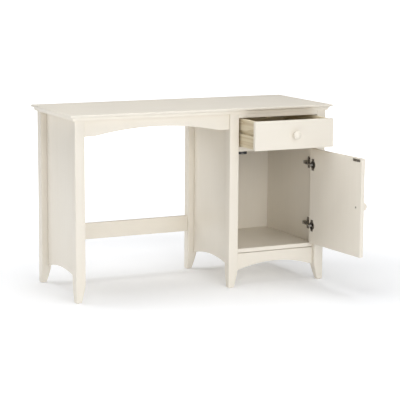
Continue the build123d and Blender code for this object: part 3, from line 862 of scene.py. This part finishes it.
class DESK_OT_drawer(Operator):
    """Model the drawer: painted front, bare sides with runner grooves, back and bottom"""

    bl_idname = "desk.drawer"
    bl_label = "Drawer"

    def execute(self, context):
        sizes = context.scene.desk_sizes
        low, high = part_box("drawer_front")
        front = ease(board("drawer_front_board", low, high, "X"), sizes.front_arris, 4)
        fit_to(front, ["drawer_front"], "paint_X")

        bottom_low, bottom_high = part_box("drawer_bottom")
        front_back = high.y
        play, past_end, past_side = 0.0005, 0.01, 0.02
        for hand in ("left", "right"):
            node = f"drawer_{hand}_side"
            low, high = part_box(node)
            runner_low, runner_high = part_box(f"{hand}_drawer_runner")
            groove_low = Vector((runner_low.x - 2 * play, low.y - past_end, runner_low.z - play))
            groove_high = Vector((runner_high.x + 2 * play, high.y + past_end, runner_high.z + play))
            if hand == "left":
                groove_low.x = runner_low.x - past_side
            else:
                groove_high.x = runner_high.x + past_side
            side = board(f"{node}_board", low, high, "Y")
            cut_away(side, board("groove_cutter", groove_low, groove_high, "Y"))
            slot_low = bottom_low - Vector((0, past_end, 0))
            slot_high = bottom_high + Vector((0, past_end, 0))
            cut_away(side, board("slot_cutter", slot_low, slot_high, "Y"))
            fit_to(ease(side, SIDE_ARRIS, 2), [node], "pine_Y")

        low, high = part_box("drawer_back")
        back = ease(board("drawer_back_board", low, high, "X"), sizes.board_arris)
        fit_to(back, ["drawer_back"], "pine_X")
        bottom_low.y = front_back
        bottom = ease(board("drawer_bottom_board", bottom_low, bottom_high, "X"), PLYWOOD_ARRIS, 2)
        fit_to(bottom, ["drawer_bottom"], "ply_X")
        return {"FINISHED"}


class DESK_OT_door(Operator):
    """Model the cupboard door with its bored hinge pockets, and swing it open"""

    bl_idname = "desk.door"
    bl_label = "Cupboard door"

    def execute(self, context):
        sizes = context.scene.desk_sizes
        low, high = closed_door()
        leaf = ease(board("door_leaf", low, high, "Z"), sizes.front_arris, 4)
        cup_x = high.x - CUP_INSET
        for node in ("lower_hinge_cup", "upper_hinge_cup"):
            cup_low, cup_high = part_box(node)
            deselect()
            bpy.ops.mesh.primitive_cylinder_add(
                vertices=64,
                radius=CUP_RADIUS + CUP_PLAY,
                depth=2 * CUP_DEPTH,
                location=(cup_x, high.y, (cup_low.z + cup_high.z) / 2),
                rotation=(math.pi / 2, 0, 0),
            )
            cutter = bpy.context.object
            settle(cutter)
            cut_away(leaf, cutter)
        fit_to(swing_open(smooth(leaf)), ["door_panel"], "paint_Z")
        return {"FINISHED"}


def knob_profile(radius, reach, neck, foot):
    """Outline of a turned knob: a flared foot, a narrow neck and a round head."""
    head_start, widest = reach * 0.33, reach * 0.64
    foot_height, foot_round, head_steps = 0.002, 0.0006, 14
    foot_top = (foot - 0.0004, foot_height)
    flare = (neck + 0.0006, head_start * 0.45)
    neck_end = (neck, head_start * 0.8)
    shoulder = (radius * 0.82, head_start * 1.25)
    profile = [(foot - foot_round, 0.0), (foot, foot_round), (foot, foot_height - 0.0005), foot_top]
    profile += arc_through(foot_top, flare, neck_end, 8)
    profile += arc_through(neck_end, shoulder, (radius, widest), 12)
    for step in range(1, head_steps + 1):
        turn = math.radians(90 * step / head_steps)
        ring = max(radius * math.cos(turn), 0.00005)
        profile.append((ring, widest + (reach - widest) * math.sin(turn)))
    return profile


class DESK_OT_knobs(Operator):
    """Turn the round knobs of the drawer and the door"""

    bl_idname = "desk.knobs"
    bl_label = "Knobs"

    def execute(self, context):
        sizes = context.scene.desk_sizes
        low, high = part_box("drawer_knob")
        radius, reach = (high.x - low.x) / 2, high.y - low.y
        profile = knob_profile(radius, reach, sizes.knob_neck, sizes.knob_foot)
        base = Vector(((low.x + high.x) / 2, high.y, (low.z + high.z) / 2))
        knob = turned("drawer_knob_turned", base, (0, -1, 0), profile, 72)
        fit_to(knob, ["drawer_knob"], "paint_Z")

        low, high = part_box("door_knob")
        leaf_low, _ = closed_door()
        shut = shut_centre("door_knob")
        base = Vector((shut.x, leaf_low.y, (low.z + high.z) / 2))
        knob = swing_open(turned("door_knob_turned", base, (0, -1, 0), profile, 72))
        fit_to(knob, ["door_knob"], "paint_Z")
        return {"FINISHED"}


class DESK_OT_fittings(Operator):
    """Model the drawer's runners and stop, the floor battens, the fixing blocks and the glides"""

    bl_idname = "desk.fittings"
    bl_label = "Runners, blocks and glides"

    def execute(self, context):
        sizes = context.scene.desk_sizes
        grains = {
            "left_drawer_runner": "Y",
            "right_drawer_runner": "Y",
            "drawer_stop": "X",
            "floor_battens": "Y",
            "top_fixing_blocks": "X",
        }
        for node, grain in grains.items():
            boards = [board(f"{node}_part", *box_of(part), grain) for part in loose_parts(node)]
            piece = ease(joined(f"{node}_set", boards), sizes.board_arris, 2)
            fit_to(piece, [node], f"pine_{grain}")

        glides = []
        for part in loose_parts("foot_glides"):
            low, high = box_of(part)
            radius, height = (high.x - low.x) / 2, high.z - low.z
            worn_edge = [(radius - 0.0016, 0.0), (radius - 0.0005, 0.0004), (radius, 0.0014)]
            profile = worn_edge + [(radius, height)]
            base = ((low.x + high.x) / 2, (low.y + high.y) / 2, low.z)
            glides.append(turned("foot_glide_part", base, (0, 0, 1), profile, 40))
        fit_to(joined("foot_glides_set", glides), ["foot_glides"], "glide")
        return {"FINISHED"}


def pan_screw(name, head_radius, shank_radius, head_height, depth):
    """A pan-head screw with a cross recess, its head's crown at the origin, pointing down."""
    crown, point_height = head_height * 0.35, shank_radius * 1.6
    profile = [
        (shank_radius * 0.3, -depth),
        (shank_radius, point_height - depth),
        (shank_radius, -head_height),
        (head_radius - 0.0001, -head_height),
        (head_radius, -head_height + 0.00015),
    ]
    profile += [(head_radius * share, -crown * drop) for share, drop in CROWN_OUTLINE]
    screw = turned(name, (0, 0, 0), (0, 0, 1), profile, 32)
    arm, slot = head_radius * 0.58, head_radius * 0.1
    recess = Vector((0, 0, head_height * 0.55))
    for across in (Vector((arm, slot, 0)), Vector((slot, arm, 0))):
        cut_away(screw, board("recess_cutter", -across - recess, across + recess, "Z"))
    return smooth(screw)


def off_axis(point, centre, axis):
    """How far a point lies from a line."""
    return (point - centre - axis * (point - centre).dot(axis)).length


def set_screws(node, direction):
    """Copies of one screw at each place that a CAD node has one, its head towards a direction."""
    out = Vector(direction).normalized()
    parts = loose_parts(node)
    crown, reach = extreme_point(parts[0], out)
    depth = reach - min(point.dot(out) for point in parts[0])
    head = max(off_axis(point, crown, out) for point in parts[0])
    shank_points = [point for point in parts[0] if reach - point.dot(out) > depth * 0.6]
    shank = max(off_axis(point, crown, out) for point in shank_points)
    steps = {round(reach - point.dot(out), 5) for point in parts[0]}
    head_height = min((step for step in steps if step > THINNEST_HEAD), default=head * 0.5)
    first = pan_screw(f"{node}_first", head, shank, min(head_height, head), depth)
    copies = []
    for number, part in enumerate(parts):
        place, _ = extreme_point(part, out)
        turn = Matrix.Rotation(math.radians(37 * number + 15), 4, "Z")
        copy = first.copy()
        copy.data = first.data.copy()
        bpy.context.collection.objects.link(copy)
        facing = out.to_track_quat("Z", "Y").to_matrix().to_4x4()
        copy.data.transform(Matrix.Translation(place) @ facing @ turn)
        copies.append(copy)
    bpy.data.objects.remove(first)
    return fit_to(joined(f"{node}_set", copies), [node], "steel")


class DESK_OT_screws(Operator):
    """Model the pan-head screws of the hinges, the catch, the strike plate and the knobs"""

    bl_idname = "desk.screws"
    bl_label = "Screws"

    def execute(self, context):
        door_inner = door_turn @ Vector((0, 1, 0))
        heads = {
            "catch_screws": (0, 0, -1),
            "strike_plate_screws": door_inner,
            "hinge_cup_screws": door_inner,
            "hinge_plate_screws": (-1, 0, 0),
            "hinge_arm_screws": (-1, 0, 0),
            "drawer_stop_screw": (0, 0, -1),
            "drawer_knob_screw": (0, 1, 0),
            "door_knob_screw": door_inner,
        }
        for node, direction in heads.items():
            set_screws(node, direction)
        return {"FINISHED"}


def eased_copy(node, name, width, segments=2):
    """A CAD node's shape with its flat faces made whole and its edges softened."""
    source = frame["nodes"][node]
    piece = source.copy()
    piece.data = source.data.copy()
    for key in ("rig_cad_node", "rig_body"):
        if key in piece:
            del piece[key]
    piece.parent = None
    bpy.context.collection.objects.link(piece)
    name_piece(piece, name)
    take(piece)
    open_mesh()
    bpy.ops.mesh.remove_doubles(threshold=1e-6)
    bpy.ops.mesh.dissolve_limited(angle_limit=math.radians(0.5))
    bpy.ops.object.mode_set(mode="OBJECT")
    return ease(piece, width, segments)


class DESK_OT_hinges(Operator):
    """Finish the concealed hinges with softened edges in plated steel"""

    bl_idname = "desk.hinges"
    bl_label = "Hinges"

    def execute(self, context):
        for level in ("lower", "upper"):
            for part, width in HINGE_ARRISES.items():
                node = f"{level}_hinge_{part}"
                fit_to(eased_copy(node, f"{node}_shape", width), [node], "steel")
        fit_to(eased_copy("hinge_pins", "hinge_pins_set", PIN_ARRIS), ["hinge_pins"], "steel")
        return {"FINISHED"}


class DESK_OT_catch(Operator):
    """Model the black magnetic catch under the divider and the steel strike plate on the door"""

    bl_idname = "desk.catch"
    bl_label = "Catch and strike plate"

    def execute(self, context):
        low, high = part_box("door_catch")
        middle = (low + high) / 2
        ear_left, ear_right = low.x + EAR_LENGTH, high.x - EAR_LENGTH
        body = board("door_catch_case", low, high, "X")
        for ear_low, ear_high in ((low.x - PAST_FACE, ear_left), (ear_right, high.x + PAST_FACE)):
            step_low = Vector((ear_low, low.y - PAST_FACE, low.z - PAST_FACE))
            step_high = Vector((ear_high, low.y + EAR_SETBACK, high.z + PAST_FACE))
            cut_away(body, board("ear_cutter", step_low, step_high, "X"))
        ease(body, CASE_ARRIS, 2)
        left, right = ear_left + WINDOW_FRAME, ear_right - WINDOW_FRAME
        window_low = Vector((left, low.y - PAST_FACE, middle.z - WINDOW_HALF_HEIGHT))
        window_high = Vector((right, low.y + WINDOW_DEPTH, middle.z + WINDOW_HALF_HEIGHT))
        cut_away(body, board("window_cutter", window_low, window_high, "X"))
        fit_to(smooth(body), ["door_catch"], "catch")
        poles = []
        for side in (-1, 1):
            pole_z = middle.z + side * STRIP_RISE
            pole_low = Vector((left + STRIP_GAP, low.y + STRIP_SETBACK, pole_z - STRIP_HALF_HEIGHT))
            pole_high = Vector((right - STRIP_GAP, low.y + STRIP_DEPTH, pole_z + STRIP_HALF_HEIGHT))
            poles.append(board("catch_pole", pole_low, pole_high, "X"))
        strips = ease(joined("catch_pole_strips", poles), STRIP_ARRIS, 2)
        lay_finish(strips, "steel")
        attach(strips, "desk_frame")

        plate = eased_copy("door_strike_plate", "door_strike_plate_shape", STRIKE_ARRIS, 3)
        fit_to(plate, ["door_strike_plate"], "steel")
        return {"FINISHED"}


class DESK_OT_hidden(Operator):
    """Give the dowels and screws inside the joints their finishes"""

    bl_idname = "desk.hidden"
    bl_label = "Dowels and hidden screws"

    def execute(self, context):
        finish_of = {"rail_dowels": "pine_X", "top_fixing_screws": "steel", "runner_screws": "steel"}
        for node, finish in finish_of.items():
            lay_finish(frame["nodes"][node], finish)
        return {"FINISHED"}


class DESK_OT_stage(Operator):
    """Lay the pale floor, set the soft lights and place the camera"""

    bl_idname = "desk.stage"
    bl_label = "Floor, lights and camera"

    def execute(self, context):
        studio = context.scene.desk_studio
        deselect()
        bpy.ops.mesh.primitive_plane_add(size=240, location=(0, 0, 0))
        floor = name_piece(bpy.context.object, "studio_floor")
        material, tree, shader = start_material("studio_floor")
        mottle = noise(tree, place_coordinates(tree), 6.0, 4.0, 0.6)
        pale = tuple(studio.floor_colour)
        mottled = mix_colours(tree, mottle, pale, tuple(value * 0.99 for value in pale))
        distance = add_node(tree, "ShaderNodeVectorMath", {0: place_coordinates(tree)}, operation="LENGTH")
        seen = add_node(tree, "ShaderNodeLightPath").outputs["Is Camera Ray"]
        far_away = spread(tree, distance.outputs["Value"], 1.1, 3.0)
        horizon = combine(tree, "MULTIPLY", far_away, seen)
        look = {
            "Base Color": mottled,
            "Roughness": 0.9,
            "Specular IOR Level": 0.1,
            "Emission Color": (1, 1, 1, 1),
            "Emission Strength": combine(tree, "ADD", horizon, studio.floor_glow),
        }
        feed_all(tree, shader, look)
        floor.data.materials.append(material)

        world = bpy.data.worlds.new("studio_surround")
        context.scene.world = world
        world.use_nodes = True
        tree = world.node_tree
        sky = tree.nodes["Background"]
        seen = add_node(tree, "ShaderNodeLightPath").outputs["Is Camera Ray"]
        strength = spread(tree, seen, 0.0, 1.0, studio.sky, 1.0)
        feed_all(tree, sky, {"Color": (1, 1, 1, 1), "Strength": strength})

        desk_middle = (0.1, 0.2, 0.4)
        for name, place, aim, size, power in (
            ("key_light", (0.3, -5.2, 2.6), desk_middle, 3.2, studio.key_power),
            ("low_light", (-1.6, -5.2, 1.4), desk_middle, 3.2, studio.low_power),
            ("left_light", (-5.0, 0.8, 1.8), desk_middle, 3.0, studio.left_power),
            ("rear_light", (-4.0, 3.0, 2.2), desk_middle, 3.0, studio.rear_power),
            ("top_light", (0.0, 0.2, 4.6), (0.0, 0.2, 0.0), 4.0, studio.top_power),
        ):
            bpy.ops.object.light_add(type="AREA", location=place)
            light = bpy.context.object
            light.name = name
            light.data.name = name
            light.data.size = size
            light.data.energy = power
            light.rotation_euler = (Vector(aim) - Vector(place)).to_track_quat("-Z", "Y").to_euler()

        bpy.ops.object.camera_add(location=studio.camera_place)
        camera = bpy.context.object
        camera.name = "desk_camera"
        heading, tilt, roll = studio.camera_heading, studio.camera_tilt, studio.camera_roll
        flat = math.cos(tilt)
        ahead = Vector((math.sin(heading) * flat, math.cos(heading) * flat, -math.sin(tilt)))
        level = Vector((math.cos(heading), -math.sin(heading), 0))
        upright = level.cross(ahead)
        right = math.cos(roll) * level + math.sin(roll) * upright
        up = math.cos(roll) * upright - math.sin(roll) * level
        camera.rotation_euler = Matrix((right, up, -ahead)).transposed().to_euler()
        camera.data.sensor_width = 36
        camera.data.lens = studio.lens
        camera.data.clip_end = 500
        context.scene.camera = camera
        context.scene.view_settings.view_transform = "Standard"
        context.scene.view_settings.look = "None"
        return {"FINISHED"}


# ---------------------------------------------------------------- panel and registration

PIECE_OPERATORS = (
    DESK_OT_top,
    DESK_OT_legs,
    DESK_OT_end_panels,
    DESK_OT_aprons,
    DESK_OT_rails,
    DESK_OT_drawer,
    DESK_OT_door,
    DESK_OT_knobs,
    DESK_OT_fittings,
    DESK_OT_hinges,
    DESK_OT_catch,
    DESK_OT_screws,
    DESK_OT_hidden,
    DESK_OT_stage,
)


class DESK_PT_sidebar(Panel):
    """Sidebar panel that lists the desk's settings and operators"""

    bl_idname = "DESK_PT_sidebar"
    bl_label = "Painted Writing Desk"
    bl_space_type = "VIEW_3D"
    bl_region_type = "UI"
    bl_category = "Desk"

    def draw(self, context):
        layout = self.layout
        for operator in PIECE_OPERATORS:
            layout.operator(operator.bl_idname)
        for heading, settings in (
            ("Sizes", context.scene.desk_sizes),
            ("Finishes", context.scene.desk_colours),
            ("Studio", context.scene.desk_studio),
        ):
            box = layout.box()
            box.label(text=heading)
            for name in settings.__annotations__:
                box.prop(settings, name)


SETTINGS = (
    (DeskSizes, "desk_sizes"),
    (DeskColours, "desk_colours"),
    (DeskStudio, "desk_studio"),
)


def register():
    """Register the settings, the operators and the panel."""
    for group, attribute in SETTINGS:
        bpy.utils.register_class(group)
        setattr(bpy.types.Scene, attribute, PointerProperty(type=group))
    for item in (*PIECE_OPERATORS, DESK_PT_sidebar):
        bpy.utils.register_class(item)


def unregister():
    """Take the panel, the operators and the settings away again."""
    for item in reversed((*PIECE_OPERATORS, DESK_PT_sidebar)):
        bpy.utils.unregister_class(item)
    for group, attribute in reversed(SETTINGS):
        delattr(bpy.types.Scene, attribute)
        bpy.utils.unregister_class(group)


def main():
    """Build the whole desk."""
    register()
    for operator in PIECE_OPERATORS:
        family, name = operator.bl_idname.split(".")
        getattr(getattr(bpy.ops, family), name)()


if __name__ == "__main__":
    main()
